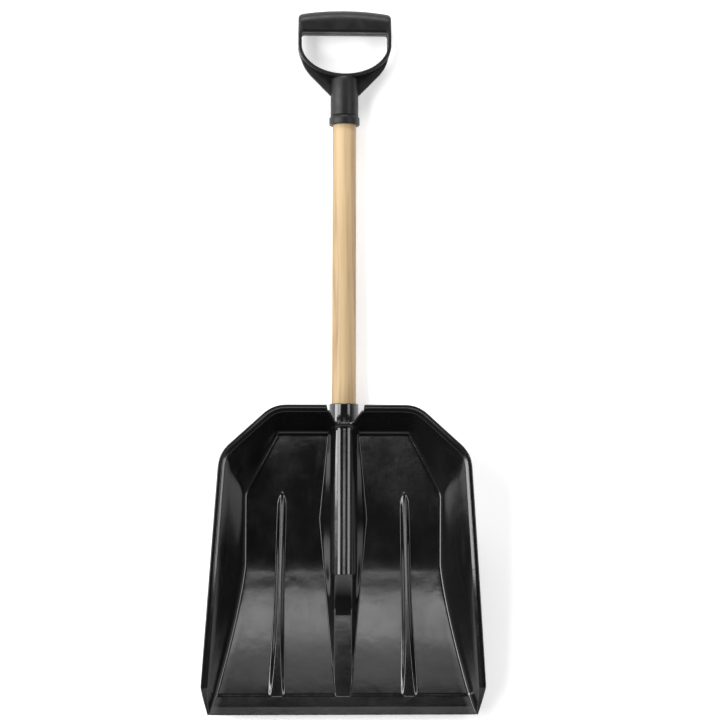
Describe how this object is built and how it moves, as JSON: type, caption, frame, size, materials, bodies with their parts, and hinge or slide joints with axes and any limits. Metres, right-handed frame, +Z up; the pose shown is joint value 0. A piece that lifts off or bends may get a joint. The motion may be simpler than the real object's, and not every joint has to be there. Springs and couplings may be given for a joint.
{
  "type": "grain scoop shovel",
  "caption": "Deep black plastic grain scoop with a flanged rim and ribbed floor, on a straight wooden shaft with a plastic D grip.",
  "frame": {"origin": "centre of the box round the whole shovel, on the ground that it lies on", "axes": "+Y along the shaft from the blade to the grip, +Z up out of the open side of the blade, +X to the right seen from above with the grip at the top"},
  "size_m": [0.394, 0.9906, 0.097],
  "materials": {
    "blade_plastic": "glossy black moulded plastic with fine scuffs",
    "shaft_wood": "pale straight-grained hardwood, clear lacquer",
    "grip_plastic": "satin black plastic with a fine grain",
    "screw_steel": "zinc-plated steel"
  },
  "bodies": {
    "root": {"scoop_blade": "blade_plastic", "shaft": "shaft_wood", "grip_collar": "grip_plastic", "d_grip": "grip_plastic", "socket_screws": "screw_steel", "grip_screw": "screw_steel"}
  },
  "joints": []
}
